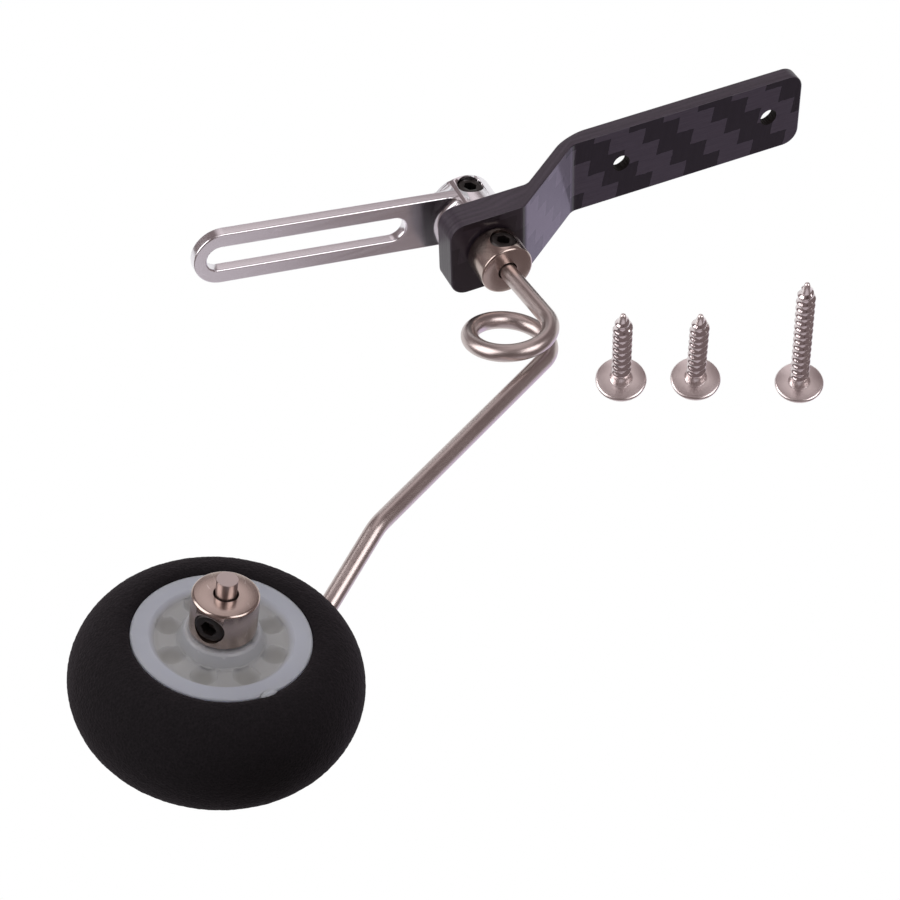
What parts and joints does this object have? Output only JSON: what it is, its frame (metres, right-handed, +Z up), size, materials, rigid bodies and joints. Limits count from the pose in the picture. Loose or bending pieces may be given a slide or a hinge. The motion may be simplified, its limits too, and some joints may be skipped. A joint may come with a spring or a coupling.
{
  "type": "model aircraft tailwheel",
  "caption": "Steerable model aircraft tailwheel: cranked carbon bracket, slotted tiller arm, coiled spring-wire strut, collars and a foam-tyred wheel, with loose screws.",
  "frame": {"origin": "midway between the two screw holes, on the top face of the bracket's mounting plate", "axes": "+Z up along the steering shaft, +X forward along the bracket, so the wheel trails towards -X"},
  "size_m": [0.1669, 0.0907, 0.1142],
  "materials": {
    "carbon_laminate": "twill weave under clear lacquer",
    "bronze": "plain turned",
    "satin_aluminium": "satin",
    "black_steel": "black oxide",
    "nickel_plate": "bright nickel plate",
    "spring_wire": "drawn and plated",
    "nylon": "moulded nylon",
    "foam_rubber": "fine-pored foam"
  },
  "bodies": {
    "mount": {"bracket": "carbon_laminate", "shaft_bush": "bronze", "mounting_screws": "nickel_plate", "rudder_screw": "nickel_plate"},
    "steering": {"strut_shaft": "spring_wire", "spring_coil": "spring_wire", "tiller_arm": "satin_aluminium", "tiller_set_screw": "black_steel", "steering_collar": "nickel_plate", "steering_set_screw": "black_steel"},
    "leg": {"strut_leg": "spring_wire", "axle": "spring_wire", "inner_wheel_collar": "nickel_plate", "inner_collar_set_screw": "black_steel", "outer_wheel_collar": "nickel_plate", "outer_collar_set_screw": "black_steel"},
    "wheel": {"inner_hub_half": "nylon", "outer_hub_half": "nylon", "tyre": "foam_rubber"}
  },
  "joints": [
    {"name": "steering", "type": "hinge", "parent": "mount", "child": "steering", "pos_m": [-0.0459, -0.00075, -0.0144], "axis": [0, 0, 1], "range_deg": [-53.8, 36.2]},
    {"name": "suspension", "type": "hinge", "parent": "steering", "child": "leg", "pos_m": [-0.05223, -0.00012, -0.03526], "axis": [-0.0789, 0.9934, -0.0836], "range_deg": [0, 12], "stiffness_Nm_per_rad": 10.2, "deforming": ["spring_coil"]},
    {"name": "wheel_spin", "type": "hinge", "parent": "leg", "child": "wheel", "pos_m": [-0.12449, -0.01211, -0.0925], "axis": [-0.1906, 0.9804, -0.0506], "continuous": true}
  ]
}
